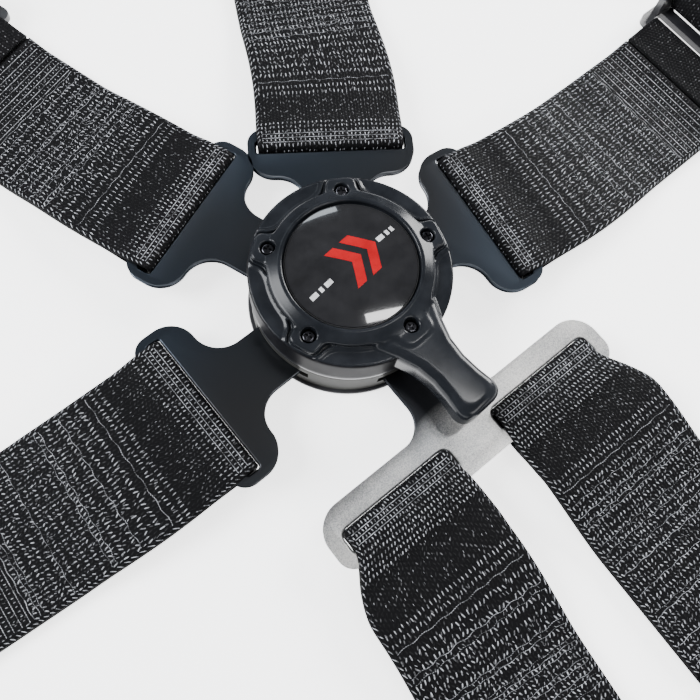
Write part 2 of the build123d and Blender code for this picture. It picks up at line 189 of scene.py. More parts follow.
# ---- material helpers ----------------------------------------------------------
class Nodes:
    """Short ways to add and join shader nodes."""

    def __init__(self, name):
        self.material = bpy.data.materials.new(name)
        self.material.use_nodes = True
        self.tree = self.material.node_tree
        self.shader = self.tree.nodes["Principled BSDF"]

    def add(self, kind, **values):
        node = self.tree.nodes.new(kind)
        for key, value in values.items():
            setattr(node, key, value)
        return node

    def join(self, source, target):
        self.tree.links.new(source, target)

    def math(self, operation, a, b=0.0, c=0.0):
        node = self.add("ShaderNodeMath", operation=operation)
        for socket, value in zip(node.inputs, (a, b, c)):
            if isinstance(value, (int, float)):
                socket.default_value = value
            else:
                self.join(value, socket)
        return node.outputs[0]

    def noise(self, vector, scale, detail=3.0, rough=0.5):
        node = self.add("ShaderNodeTexNoise")
        node.inputs["Scale"].default_value = scale
        node.inputs["Detail"].default_value = detail
        node.inputs["Roughness"].default_value = rough
        self.join(vector, node.inputs["Vector"])
        return node.outputs["Fac"]

    def ramp(self, value, stops):
        node = self.add("ShaderNodeValToRGB")
        elements = node.color_ramp.elements
        while len(elements) < len(stops):
            elements.new(0.5)
        for element, (place, colour) in zip(elements, stops):
            element.position = place
            element.color = (*colour, 1.0)
        self.join(value, node.inputs["Fac"])
        return node.outputs["Color"]

    def range(self, value, low, high, to_low, to_high):
        node = self.add("ShaderNodeMapRange")
        for socket, number in zip(node.inputs[1:5], (low, high, to_low, to_high)):
            socket.default_value = number
        self.join(value, node.inputs[0])
        return node.outputs[0]

    def bump(self, height, strength, distance):
        node = self.add("ShaderNodeBump")
        node.inputs["Strength"].default_value = strength
        node.inputs["Distance"].default_value = distance
        self.join(height, node.inputs["Height"])
        self.join(node.outputs["Normal"], self.shader.inputs["Normal"])

    def place(self):
        return self.add("ShaderNodeTexCoord").outputs["Object"]

    def set(self, **values):
        for key, value in values.items():
            self.shader.inputs[key.replace("_", " ")].default_value = value


def metal(name, dark, light, rough_low, rough_high):
    """Metal whose colour and roughness vary a little over the surface."""
    n = Nodes(name)
    where = n.place()
    broad = n.noise(where, 60.0, 3.0)
    fine = n.noise(where, 900.0, 2.0, 0.6)
    n.join(n.ramp(broad, ((0.3, dark), (0.7, light))), n.shader.inputs["Base Color"])
    mix = n.math("MULTIPLY_ADD", fine, 0.6, n.math("MULTIPLY", broad, 0.4))
    n.join(n.range(mix, 0.3, 0.7, rough_low, rough_high), n.shader.inputs["Roughness"])
    n.set(Metallic=1.0)
    return n.material


def paint(name, colour, rough_low, rough_high, coat, bump=0.06, glint=0.5):
    """Smooth coating over a casting, with faint orange peel and rubbed patches."""
    n = Nodes(name)
    where = n.place()
    peel = n.noise(where, 1400.0, 2.0)
    rub = n.noise(where, 120.0, 4.0, 0.6)
    lighter = tuple(c * 1.7 + 0.004 for c in colour)
    n.join(n.ramp(rub, ((0.35, colour), (0.75, lighter))), n.shader.inputs["Base Color"])
    n.join(n.range(rub, 0.3, 0.75, rough_low, rough_high), n.shader.inputs["Roughness"])
    n.set(Coat_Weight=coat, Coat_Roughness=0.12, Specular_IOR_Level=glint)
    n.bump(peel, bump, 0.00003)
    return n.material


def tongue_metal():
    """Black chrome: dark charcoal with a faint slate cast that changes slowly over the plate."""
    n = Nodes("black_chrome")
    where = n.place()
    broad = n.noise(where, 14.0, 1.0)
    fine = n.noise(where, 1500.0, 2.0, 0.6)
    tint = n.ramp(broad, ((0.35, (0.042, 0.043, 0.046)), (0.6, (0.036, 0.045, 0.058))))
    n.join(tint, n.shader.inputs["Base Color"])
    n.join(n.range(fine, 0.2, 0.8, 0.29, 0.33), n.shader.inputs["Roughness"])
    n.set(Metallic=1.0, Coat_Weight=0.3, Coat_Roughness=0.12)
    return n.material


def nickel_metal():
    """The double tongue: speckled satin, with painted shade on its neck for the lever handle's shadow and
    dark reflection, fading out by distance from the buckle.
    """
    n = Nodes("satin_nickel")
    where = n.place()
    speck = n.noise(where, 2600.0, 3.0, 0.7)
    cloud = n.noise(where, 45.0, 2.0)
    mixed = n.math("MULTIPLY_ADD", speck, 0.6, n.math("MULTIPLY", cloud, 0.4))
    satin = n.ramp(mixed, ((0.38, (0.2, 0.21, 0.22)), (0.5, (0.4, 0.4, 0.4)), (0.62, (0.62, 0.61, 0.59))))
    split = n.add("ShaderNodeSeparateXYZ")
    n.join(where, split.inputs[0])
    # distance out from the buckle, slightly clouded, along which the painted shade fades
    out = n.math("MULTIPLY_ADD", cloud, 0.004, n.math("MULTIPLY", split.outputs[1], -1.0))
    mix = n.add("ShaderNodeMix", data_type="RGBA")
    n.join(n.range(out, NECK_SHADOW_FADE, NECK_SHADOW_END, 0.0, 1.0), mix.inputs[0])
    # colour of the painted shade on the neck
    mix.inputs[6].default_value = (0.02, 0.021, 0.024, 1)
    n.join(satin, mix.inputs[7])
    n.join(mix.outputs[2], n.shader.inputs["Base Color"])
    n.join(n.range(speck, 0.3, 0.7, 0.32, 0.44), n.shader.inputs["Roughness"])
    n.set(Metallic=1.0)
    n.bump(speck, 0.06, 0.00003)
    return n.material


def webbing_material(name, glint, density):
    """Black polyester webbing. UV runs along the belt and across it.
    Each cell of the weave holds one raised yarn; the crests of some cells are painted pale, a painted
    highlight."""
    n = Nodes(name)
    uv = n.add("ShaderNodeUVMap", uv_map="cloth")
    split = n.add("ShaderNodeSeparateXYZ")
    n.join(uv.outputs["UV"], split.inputs[0])
    along = n.math("MULTIPLY", split.outputs[0], UV_UNIT / RIB * 2)
    across = n.math("MULTIPLY", split.outputs[1], UV_UNIT / YARN)
    column = n.math("FLOOR", across)
    odd = n.math("PINGPONG", column, 1.0)
    shifted = n.math("MULTIPLY_ADD", odd, 0.5, along)
    row = n.math("FLOOR", shifted)
    cell = n.add("ShaderNodeCombineXYZ")
    n.join(row, cell.inputs[0])
    n.join(column, cell.inputs[1])
    dice = n.add("ShaderNodeTexWhiteNoise", noise_dimensions="2D")
    n.join(cell.outputs[0], dice.inputs["Vector"])
    parts = n.add("ShaderNodeSeparateColor")
    n.join(dice.outputs["Color"], parts.inputs[0])
    x = n.math("SUBTRACT", n.math("SUBTRACT", shifted, row), 0.5)
    y = n.math("SUBTRACT", n.math("SUBTRACT", across, column), 0.5)
    lean = n.math("MULTIPLY_ADD", parts.outputs[0], 1.5, -0.75)
    y_leant = n.math("MULTIPLY_ADD", x, lean, y)
    far = n.math("ADD", n.math("POWER", n.math("ABSOLUTE", n.math("MULTIPLY", x, 2.3)), 2.0),
                 n.math("POWER", n.math("ABSOLUTE", n.math("MULTIPLY", y_leant, 3.6)), 2.0))
    crest = n.range(far, 0.15, 1.0, 1.0, 0.0)
    lit = n.range(parts.outputs[1], 1.0 - density, 1.0, 0.12, 1.0)
    # crests of the lit cells painted pale: painted highlights on black yarn
    painted_highlight = n.math("MULTIPLY", crest, lit)
    highlight_colour = (glint, glint, glint * 1.05)
    tint = n.ramp(painted_highlight, ((0.0, (0.002, 0.002, 0.0025)), (0.5, (0.008, 0.008, 0.009)), (1.0, highlight_colour)))
    n.join(tint, n.shader.inputs["Base Color"])
    n.join(n.range(crest, 0.0, 1.0, 0.8, 0.45), n.shader.inputs["Roughness"])
    n.set(Specular_IOR_Level=0.1)
    n.bump(crest, 0.6, 0.00018)
    return n.material


def glint_thread_material():
    """Black yarn painted pale as a painted highlight; how pale changes from stitch to stitch."""
    n = Nodes("stitch_thread_painted_glints")
    where = n.place()
    twist = n.noise(where, 2500.0, 2.0)
    glint_cloud = n.noise(where, 420.0, 1.0)
    glint_amount = n.math("MULTIPLY_ADD", twist, 0.4, n.math("MULTIPLY", glint_cloud, 0.6))
    # from the yarn's dark colour up to a pale painted highlight
    tint = n.ramp(glint_amount, ((0.38, (0.03, 0.03, 0.033)), (0.6, (0.4, 0.41, 0.44))))
    n.join(tint, n.shader.inputs["Base Color"])
    n.join(n.range(twist, 0.3, 0.7, 0.3, 0.55), n.shader.inputs["Roughness"])
    n.bump(twist, 0.4, 0.00005)
    return n.material


MATERIALS = {
    "black_coat": paint("black_coat", (0.012, 0.012, 0.014), 0.3, 0.42, 0.4),
    "lever_black": paint("lever_black", (0.006, 0.007, 0.009), 0.16, 0.24, 0.0, bump=0.01, glint=0.2),
    # darker, duller copy of lever_black for the lever's side wall: painted shade against the floor's
    # reflection
    "lever_rim": paint("lever_rim", (0.004, 0.004, 0.005), 0.4, 0.5, 0.0, bump=0.02, glint=0.04),
    "satin_silver": paint("satin_silver", (0.03, 0.03, 0.028), 0.42, 0.5, 0.0, bump=0.05, glint=0.07),
    "steel": metal("steel", (0.4, 0.4, 0.41), (0.6, 0.6, 0.6), 0.25, 0.4),
    "screw_steel": metal("screw_black", (0.03, 0.03, 0.035), (0.08, 0.08, 0.09), 0.12, 0.24),
    "tongue_steel": tongue_metal(),
    "crotch_steel": nickel_metal(),
    "bar_steel": metal("bar_steel", (0.45, 0.48, 0.52), (0.65, 0.68, 0.72), 0.18, 0.32),
    "badge": paint("badge_black", (0.01, 0.01, 0.011), 0.25, 0.4, 0.2),
    "badge_resin": paint("badge_resin", (0.006, 0.006, 0.007), 0.025, 0.04, 0.3, bump=0.004),
    "badge_red": paint("badge_red", (0.27, 0.0, 0.003), 0.06, 0.1, 0.3, bump=0.005),
    "badge_white": paint("badge_white", (0.4, 0.4, 0.41), 0.06, 0.1, 0.3, bump=0.005),
    # webbing and elastic carry painted highlights on their yarn crests
    "webbing": webbing_material("webbing", 0.1, 0.5),
    "elastic": webbing_material("elastic", 0.06, 0.5),
    "thread": glint_thread_material(),
}


# ---- mesh helpers ----------------------------------------------------------------
def finish_piece(mesh, name, material, body, stands_for=()):
    piece = bpy.data.objects.new(name, mesh)
    bpy.context.scene.collection.objects.link(piece)
    mesh.materials.append(MATERIALS[material])
    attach(piece, body)
    if stands_for:
        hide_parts(*stands_for)
    return piece


def mesh_from(name, points, faces, smooth=True, sharp=None):
    mesh = bpy.data.meshes.new(name)
    mesh.from_pydata([tuple(p) for p in points], [], faces)
    if smooth:
        mesh.polygons.foreach_set("use_smooth", [True] * len(mesh.polygons))
    if sharp:
        mesh.set_sharp_from_angle(angle=math.radians(sharp))
    mesh.update()
    return mesh


def lathe(name, profile, turns):
    """Turns a profile of (radius, height) in millimetres about the Z axis."""
    points = []
    faces = []
    count = len(profile)
    for i in range(turns):
        a = 2 * math.pi * i / turns
        for r, z in profile:
            points.append((r * math.cos(a) * MM, r * math.sin(a) * MM, z * MM))
    for i in range(turns):
        j = (i + 1) % turns
        for k in range(count - 1):
            faces.append((i * count + k, j * count + k, j * count + k + 1, i * count + k + 1))
    return mesh_from(name, points, faces, sharp=40)


def tube_faces(rings, count, base=0, closed=False):
    """Quads between neighbouring rings of count points each, the first ring starting at base."""
    faces = []
    for i in range(rings if closed else rings - 1):
        a = base + i * count
        b = base + (i + 1) % rings * count
        for k in range(count):
            m = (k + 1) % count
            faces.append((a + k, a + m, b + m, b + k))
    return faces


def add_uv(mesh, uvs):
    """Gives the mesh its cloth UV from one pair for each point."""
    layer = mesh.uv_layers.new(name="cloth")
    loops = np.zeros(len(mesh.loops), int)
    mesh.loops.foreach_get("vertex_index", loops)
    layer.data.foreach_set("uv", np.array(uvs, np.float32)[loops].ravel())


# ---- lever, as one smooth casting ---------------------------------------------------
# Its radii and heights in millimetres. Those named _RISE are counted from LEVER_BASE.
LEVER_BASE = 6.0
HUB_RADIUS = 24.2  # edge of the top plate between the bosses
PLATE_RADIUS = 30.4
SKIRT_LOW = 15.6
PLATE_LOWEST = 17.0
ARM_LOW = 16.5
SKIRT_RISE = 21.2
PLATE_RISE = 22.3
ARM_RISE = 22.8
RING_RISE = 24.1
RING_RADIUS = 25.2
WELL_RADIUS = 20.7  # the badge's seat
WELL_RISE = 22.2
HOLLOW_RADIUS = 22.1
HOLLOW_TOP = 21.5
SCREW_HOLE = 2.35
SCREW_RISE = 20.4


def smooth_min(a, b, k):
    h = np.clip(0.5 + 0.5 * (b - a) / k, 0.0, 1.0)
    return b * (1 - h) + a * h - k * h * (1 - h)


def smooth_max(a, b, k):
    return -smooth_min(-a, -b, k)


def handle_half_width(x):
    """Half width of the handle, x millimetres from the buckle's centre."""
    stations = (0, 24, 30, 36, 42, 48, 53, 60)
    halves = (13.0, 12.4, 9.4, 7.2, 6.5, 6.9, 7.7, 8.0)
    return np.interp(x, stations, halves)


def plate_outline(x, y):
    """Signed distance from the edge of the lever's top plate: ring, five bosses and handle."""
    r = np.hypot(x, y)
    outline = r - HUB_RADIUS
    for k in range(5):
        a = 2 * math.pi * k / 5
        u = x * math.cos(a) + y * math.sin(a)
        v = -x * math.sin(a) + y * math.cos(a)
        dx = np.abs(u - 22.0) - 5.6
        dy = np.abs(v) - 2.1
        boss = np.hypot(np.maximum(dx, 0), np.maximum(dy, 0)) + np.minimum(np.maximum(dx, dy), 0) - 2.6
        outline = smooth_min(outline, boss, 4.5)
    return outline


def handle_outline(x, y):
    """Signed distance from the edge of the handle."""
    body = np.abs(y) - handle_half_width(x)
    ends = x - HANDLE_TIP
    outline = smooth_max(body, ends, 5.0)
    return smooth_max(outline, 8.0 - x, 1.0)


def lever_distance(x, y, z):
    """The casting: rim, top plate with bosses, raised ring and handle, less its recesses."""
    h = z - LEVER_BASE
    r = np.hypot(x, y)
    outline = plate_outline(x, y)
    skirt = smooth_max(r - LEVER_RADIUS, h - SKIRT_RISE, 2.2)
    skirt = np.maximum(skirt, SKIRT_LOW - z)
    dish = 0.9 * smooth_step(outline, 0.6, 2.4)
    skirt = smooth_max(skirt, h - SKIRT_RISE + dish, 0.4)
    plate = smooth_max(smooth_max(outline, r - PLATE_RADIUS, 1.0), h - PLATE_RISE, 0.9)
    plate = np.maximum(plate, PLATE_LOWEST - z)
    groove = np.abs(outline - 0.45) - 0.4
    skirt = smooth_max(skirt, -np.maximum(groove, SKIRT_RISE - 1.0 - h), 0.4)
    slope = ARM_RISE - 0.05 * np.clip(x - 24.0, 0, None)
    crown = slope - 0.006 * y * y
    arm = smooth_max(handle_outline(x, y), h - crown, 3.4)
    arm = smooth_max(arm, ARM_LOW - z, 2.6)
    crest = RING_RISE - 0.45 * np.clip(r - 21.8, 0, None)
    ring = smooth_max(r - RING_RADIUS, h - crest, 0.5)
    ring = np.maximum(ring, PLATE_LOWEST - z)
    top = smooth_min(plate, ring, 0.9)
    body = smooth_min(top, arm, 1.8)
    body = smooth_min(body, skirt, 0.25)
    body = smooth_max(body, -np.maximum(r - WELL_RADIUS, WELL_RISE - h), 0.5)
    body = np.maximum(body, -np.maximum(r - HOLLOW_RADIUS, z - HOLLOW_TOP))
    for k in range(5):
        a = 2 * math.pi * k / 5
        d = np.hypot(x - BOSS_CIRCLE * math.cos(a), y - BOSS_CIRCLE * math.sin(a))
        body = smooth_max(body, -np.maximum(d - SCREW_HOLE, SCREW_RISE - h), 0.35)
    return body


def smooth_step(x, low, high):
    f = np.clip((x - low) / (high - low), 0.0, 1.0)
    return f * f * (3 - 2 * f)


def surface_net(distance, low, high, step):
    """Mesh of the zero surface of a signed distance function on a regular grid."""
    axes = [np.arange(a, b + step, step) for a, b in zip(low, high)]
    x, y, z = np.meshgrid(*axes, indexing="ij")
    field = distance(x, y, z).astype(np.float32)
    inside = field < 0
    shape = np.array(field.shape) - 1
    total = np.zeros((*shape, 3), np.float32)
    count = np.zeros(shape, np.float32)
    corners = [(0, 0, 0), (1, 0, 0), (0, 1, 0), (1, 1, 0), (0, 0, 1), (1, 0, 1), (0, 1, 1), (1, 1, 1)]

    def part(array, corner):
        i, j, k = corner
        return array[i:i + shape[0], j:j + shape[1], k:k + shape[2]]

    for a in corners:
        for axis in range(3):
            if a[axis]:
                continue
            b = list(a)
            b[axis] = 1
            fa = part(field, a)
            fb = part(field, b)
            crossing = (fa < 0) != (fb < 0)
            t = np.where(crossing, fa / np.where(crossing, fa - fb, 1), 0)
            for other in range(3):
                total[..., other] += np.where(crossing, a[other] + (t if other == axis else 0), 0)
            count += crossing
    used = count > 0
    index = -np.ones(shape, int)
    index[used] = np.arange(used.sum())
    cells = np.argwhere(used)
    points = (cells + total[used] / count[used][:, None]) * step + np.array(low)
    faces = []
    for axis in range(3):
        u = (axis + 1) % 3
        v = (axis + 2) % 3
        here = inside
        there = np.roll(inside, -1, axis)
        cut = here != there
        slicer = [slice(1, -1)] * 3
        slicer[axis] = slice(0, -1)
        spots = np.argwhere(cut[tuple(slicer)])
        offset = np.ones(3, int)
        offset[axis] = 0
        spots = spots + offset
        quad = []
        for du, dv in ((0, 0), (1, 0), (1, 1), (0, 1)):
            spot = spots.copy()
            spot[:, u] -= du
            spot[:, v] -= dv
            quad.append(index[spot[:, 0], spot[:, 1], spot[:, 2]])
        quad = np.array(quad).T
        outward = here[spots[:, 0], spots[:, 1], spots[:, 2]]
        quad[~outward] = quad[~outward][:, ::-1]
        faces.append(quad)
    return points, np.concatenate(faces)


def settle(points, distance):
    """Moves points onto the zero surface of the distance function."""
    reach = 0.04
    for _ in range(2):
        here = distance(*points.T)
        slope = np.empty_like(points)
        for axis in range(3):
            shift = np.zeros(3)
            shift[axis] = reach
            slope[:, axis] = (distance(*(points + shift).T) - distance(*(points - shift).T)) / (2 * reach)
        size = np.maximum((slope**2).sum(1), 0.05)
        step = np.clip(here / size, -0.25, 0.25)
        points = points - slope * step[:, None]
    return points


def make_lever():
    points, faces = surface_net(lever_distance, (-33, -33, 14.4), (60, 33, 31.6), 0.42)
    points = settle(points, lever_distance)
    c = math.cos(LEVER_REST)
    s = math.sin(LEVER_REST)
    turn = np.array(((c, -s), (s, c)))
    points[:, :2] = points[:, :2] @ turn.T
    mesh = mesh_from("lever_casting", points * MM, faces.tolist())
    middles = points[faces].mean(1)
    out = np.hypot(middles[:, 0], middles[:, 1]) - LEVER_RADIUS
    # side-wall faces below RIM_TOP get the lever_rim paint, painted shade against the floor's reflection
    rim = (out > -0.35) & (out < 0.2) & (middles[:, 2] < RIM_TOP)
    finish_piece(mesh, "lever_casting", "lever_black", "lever", ["lever"])
    mesh.materials.append(MATERIALS["lever_rim"])
    mesh.polygons.foreach_set("material_index", rim.astype(np.int32))


DOME_RADIUS = BADGE_RADIUS - 0.5
DOME_RISE = 1.7
DOME_SEAT = 29.1
DOME_BALL = (DOME_RADIUS**2 + DOME_RISE**2) / (2 * DOME_RISE)
PRINT_TURN = math.radians(4)  # direction in which the badge's marks run


def dome_height(x, y):
    return DOME_SEAT + DOME_RISE - DOME_BALL + math.sqrt(DOME_BALL**2 - x * x - y * y)


def make_latch_coils():
    """The latch pins' springs, copied from the CAD coils onto the buckle; the real ones shorten as the pins
    lift.
    """
    coils = frame["nodes"]["latch_springs"]
    mesh = coils.data.copy()
    mesh.transform(coils.matrix_world)
    mesh.materials.clear()
    piece = finish_piece(mesh, "latch_coils", "steel", "buckle", ["latch_springs"])
    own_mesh(piece)


def make_badge():
    steps = 24
    profile = [(0.01, DOME_SEAT + DOME_RISE)]
    for i in range(1, steps + 1):
        r = DOME_RADIUS * math.sin(math.pi / 2 * i / steps)
        profile.append((r, dome_height(r, 0)))
    low = DOME_SEAT - 0.5
    profile += [(DOME_RADIUS + 0.12, DOME_SEAT - 0.15), (DOME_RADIUS + 0.12, low), (0.01, low)]
    mesh = lathe("badge_resin_dome", profile, 160)
    finish_piece(mesh, "badge_resin_dome", "badge_resin", "lever", ["badge_dome"])


def mark_mesh(name, bars):
    """Printed bars on the dome. Each bar is four corners in millimetres, in order round it."""
    points = []
    faces = []
    steps = 14
    count = steps + 1
    for bar in bars:
        base = len(points)
        a, b, c, d = [np.array(corner, float) for corner in bar]
        for lift in (0.05, -0.15):
            for i in range(count):
                for j in range(count):
                    u = i / steps
                    v = j / steps
                    x, y = (a * (1 - u) + b * u) * (1 - v) + (d * (1 - u) + c * u) * v
                    spin = (x * math.cos(PRINT_TURN) - y * math.sin(PRINT_TURN),
                            x * math.sin(PRINT_TURN) + y * math.cos(PRINT_TURN))
                    points.append((spin[0] * MM, spin[1] * MM, (dome_height(*spin) + lift) * MM))
        under = count * count
        for i in range(steps):
            for j in range(steps):
                k = base + i * count + j
                faces.append((k, k + count, k + count + 1, k + 1))
                faces.append((k + under, k + under + 1, k + under + count + 1, k + under + count))
        for i in range(steps):
            sides = ((i * count, (i + 1) * count), ((i + 1) * count + steps, i * count + steps),
                     (i + 1, i), (steps * count + i, steps * count + i + 1))
            for p, q in sides:
                faces.append((base + q, base + p, base + p + under, base + q + under))
    return mesh_from(name, points, faces, sharp=30)


def make_marks():
    """Plain marks on the badge: a double chevron with a broken line on either side of it."""
    red = []
    for x in (-4.6, 1.6):
        for side in (1, -1):
            red.append(((x, 7.2 * side), (x + 3.6, 7.2 * side), (x + 8.2, 0.0), (x + 4.6, 0.0)))
    white = []
    for x, long in ((-16.8, 2.6), (-13.2, 1.2), (-11.0, 2.6), (10.6, 2.6), (14.2, 1.2), (16.2, 1.2)):
        white.append(((x, -0.8), (x + long, -0.8), (x + long, 0.8), (x, 0.8)))
    red = [bar if bar[0][1] < 0 else bar[::-1] for bar in red]
    finish_piece(mark_mesh("badge_chevrons", red), "badge_chevrons", "badge_red", "lever")
    finish_piece(mark_mesh("badge_dashes", white), "badge_dashes", "badge_white", "lever")


# ---- tongues and plates --------------------------------------------------------------
def arc(cx, cy, radius, start, end, steps=14):
    """Points on an arc, angles in degrees."""
    out = []
    for i in range(steps + 1):
        a = math.radians(start + (end - start) * i / steps)
        out.append((cx + radius * math.cos(a), cy + radius * math.sin(a)))
    return out


def mirrored(half):
    """A closed outline from its upper half, whose points run out along +x."""
    return half + [(x, -y) for x, y in reversed(half)]


def rounded_slot(x0, x1, y0, y1, r_in, r_out):
    """Slot with corner radius r_in at x0 and r_out at x1."""
    points = arc(x0 + r_in, y0 + r_in, r_in, 180, 270, 8)
    points += arc(x1 - r_out, y0 + r_out, r_out, 270, 360, 8)
    points += arc(x1 - r_out, y1 - r_out, r_out, 0, 90, 8)
    points += arc(x0 + r_in, y1 - r_in, r_in, 90, 180, 8)
    return points


def plate_mesh(name, outlines, thick, edge, low, place):
    """A flat plate with rounded edges from closed outlines; those after the first are holes."""
    curve = bpy.data.curves.new(name, "CURVE")
    curve.dimensions = "2D"
    curve.fill_mode = "BOTH"
    curve.extrude = (thick / 2 - edge) * MM
    curve.bevel_depth = edge * MM
    curve.bevel_resolution = 4
    curve.offset = -edge * MM
    for outline in outlines:
        spline = curve.splines.new("POLY")
        spline.points.add(len(outline) - 1)
        for point, (x, y) in zip(spline.points, outline):
            point.co = (x * MM, y * MM, 0, 1)
        spline.use_cyclic_u = True
    holder = bpy.data.objects.new(name, curve)
    bpy.context.scene.collection.objects.link(holder)
    graph = bpy.context.evaluated_depsgraph_get()
    mesh = bpy.data.meshes.new_from_object(holder.evaluated_get(graph))
    bpy.data.objects.remove(holder)
    for vertex in mesh.vertices:
        p = vertex.co / MM
        vertex.co = place.point(p.x, p.y, p.z + low + thick / 2)
    work = bmesh.new()
    work.from_mesh(mesh)
    bmesh.ops.remove_doubles(work, verts=work.verts, dist=1e-6)
    bmesh.ops.recalc_face_normals(work, faces=work.faces)
    work.to_mesh(mesh)
    work.free()
    mesh.polygons.foreach_set("use_smooth", [True] * len(mesh.polygons))
    mesh.set_sharp_from_angle(angle=math.radians(35))
    mesh.update()
    return mesh


def tongue_tail():
    """Half outline of a tongue's inner end, up to where its neck is full width."""
    return [(TAIL_START, 0.0), (TAIL_START, 3.2), (11.5, 5.4), (20.0, NECK_HALF)]


def tongue_half(half, end, head_start, flare, corner):
    """Upper half of a tongue's outline, whose head is half wide and ends at end."""
    upper = tongue_tail()
    upper += arc(head_start - flare, NECK_HALF + flare, flare, 270, 360, 16)
    upper += arc(head_start + corner, half - corner, corner, 180, 90, 16)
    upper += arc(end - BAR_CORNER, half - BAR_CORNER, BAR_CORNER, 90, 0, 12)
    return upper


def latch_hole():
    front = arc(PIN_CIRCLE, 0, LATCH_RADIUS, -90, 90, 12)
    return front + arc(PIN_CIRCLE - LATCH_SLACK, 0, LATCH_RADIUS, 90, 270, 12)


def make_tongue(name):
    half = BELT_WIDTH / 2 + 0.5 + EAR
    end = EYE_START + EYE_LENGTH + BAR
    upper = tongue_half(half, end, HEAD_START, FLARE, HEAD_CORNER)
    eye = rounded_slot(EYE_START, EYE_START + EYE_LENGTH, EAR - half, half - EAR, EYE_CORNER, EYE_CORNER)
    outlines = [mirrored(upper), eye, latch_hole()]
    node = name + "_tongue"
    mesh = plate_mesh(node + "_plate", outlines, PLATE_THICK, 0.75, PLATE_LOW, TONGUES[name])
    finish_piece(mesh, node + "_plate", "tongue_steel", NODE_BODY[node], [node])


def make_crotch_tongue():
    slot = SLOT_WIDTH + 1.0
    half = CROTCH_CENTRE / 2 + slot + CROTCH_EAR
    end = CROTCH_EYE_START + CROTCH_EYE_LENGTH + BAR
    upper = tongue_half(half, end, CROTCH_HEAD_START, CROTCH_FLARE, CROTCH_CORNER)
    outlines = [mirrored(upper), latch_hole()]
    far = CROTCH_EYE_START + CROTCH_EYE_LENGTH
    for side in (1, -1):
        inner = CROTCH_CENTRE / 2
        outer = inner + slot
        low, high = sorted((side * inner, side * outer))
        outlines.append(rounded_slot(CROTCH_EYE_START, far, low, high, 2.6, EYE_CORNER))
    mesh = plate_mesh("crotch_tongue_plate", outlines, PLATE_THICK, 0.7, PLATE_LOW, CROTCH)
    finish_piece(mesh, "crotch_tongue_plate", "crotch_steel", "crotch_belt", ["crotch_tongue"])


# ---- webbing ----------------------------------------------------------------------------
def ease(x, x0, x1):
    f = min(max((x - x0) / (x1 - x0), 0.0), 1.0)
    return f * f * (3 - 2 * f)


def resample(points, step):
    """The same path with evenly spaced points, and the distance along it of each."""
    pts = np.array(points, float)
    gaps = np.hypot(*np.diff(pts, axis=0).T)
    dist = np.concatenate([[0], np.cumsum(gaps)])
    count = max(int(round(dist[-1] / step)), 2)
    at = np.linspace(0, dist[-1], count + 1)
    return np.stack([np.interp(at, dist, pts[:, 0]), np.interp(at, dist, pts[:, 1])], 1), at


def link_middle(x, drop_start, bar_at):
    """Height of the middle of a sewn link strap whose adjuster starts at bar_at."""
    high = TONGUE_MID + (TABLE_MID - TONGUE_MID) * ease(x, drop_start, drop_start + 34)
    return high + (ADJUSTER_MID - TABLE_MID) * ease(x, bar_at - 22, bar_at - SEAM_RUN)


def link_path(nose, bar_end, seam_end, bar_at):
    """Middle line of the webbing from the end of the upper ply, in round the tongue's bar,
    out under it to the adjuster's bar and back to the same end."""
    half = PLY / 2 + 0.06
    wrap = PLATE_THICK / 2 + GAP + PLY / 2
    join = bar_end + SEAM_RUN
    stop = bar_at - SEAM_RUN
    points = []
    for x in np.arange(seam_end, join, -1.0):
        points.append((x, link_middle(x, join, bar_at) + half))
    for x in np.linspace(join, bar_end, 9):
        points.append((x, TONGUE_MID + half + (wrap - half) * (1 - ease(x, bar_end, join))))
    depth = 1.0
    points += [(nose + depth + x * depth / wrap, z + TONGUE_MID) for x, z in arc(0, 0, wrap, 90, 270, 14)]
    for x in np.linspace(bar_end, join, 9):
        points.append((x, TONGUE_MID - half - (wrap - half) * (1 - ease(x, bar_end, join))))
    for x in np.arange(join + 1.0, stop, 1.0):
        points.append((x, link_middle(x, join, bar_at) - half))
    wrap = ADJUSTER_PLATE / 2 + GAP + PLY / 2
    turn = bar_at + BAR + GAP + PLY / 2 - wrap
    for x in np.linspace(stop, bar_at, 9):
        points.append((x, ADJUSTER_MID - half - (wrap - half) * ease(x, stop, bar_at)))
    points += [(x, z + ADJUSTER_MID) for x, z in arc(turn, 0, wrap, -90, 90, 14)]
    for x in np.linspace(bar_at, stop, 9):
        points.append((x, ADJUSTER_MID + half + (wrap - half) * ease(x, stop, bar_at)))
    for x in np.arange(stop - 1.0, seam_end + 0.8, -1.0):
        points.append((x, link_middle(x, join, bar_at) + half))
    return points


def section(half_width, thick, columns):
    """Closed cross-section of webbing: (across, height, v) with full, rounded edges."""
    edge = thick / 2
    flat = half_width - edge * 0.6
    side = [(0.25, 0.72), (0.0, 0.0), (0.25, -0.72)]
    out = []
    for f in np.linspace(-1, 1, columns + 1):
        out.append((f * flat, edge, f * half_width))
    out += [(half_width - edge * a, edge * b, half_width) for a, b in side]
    for f in np.linspace(1, -1, columns + 1):
        out.append((f * flat, -edge, f * half_width))
    out += [(edge * a - half_width, -edge * b, -half_width) for a, b in side]
    return out


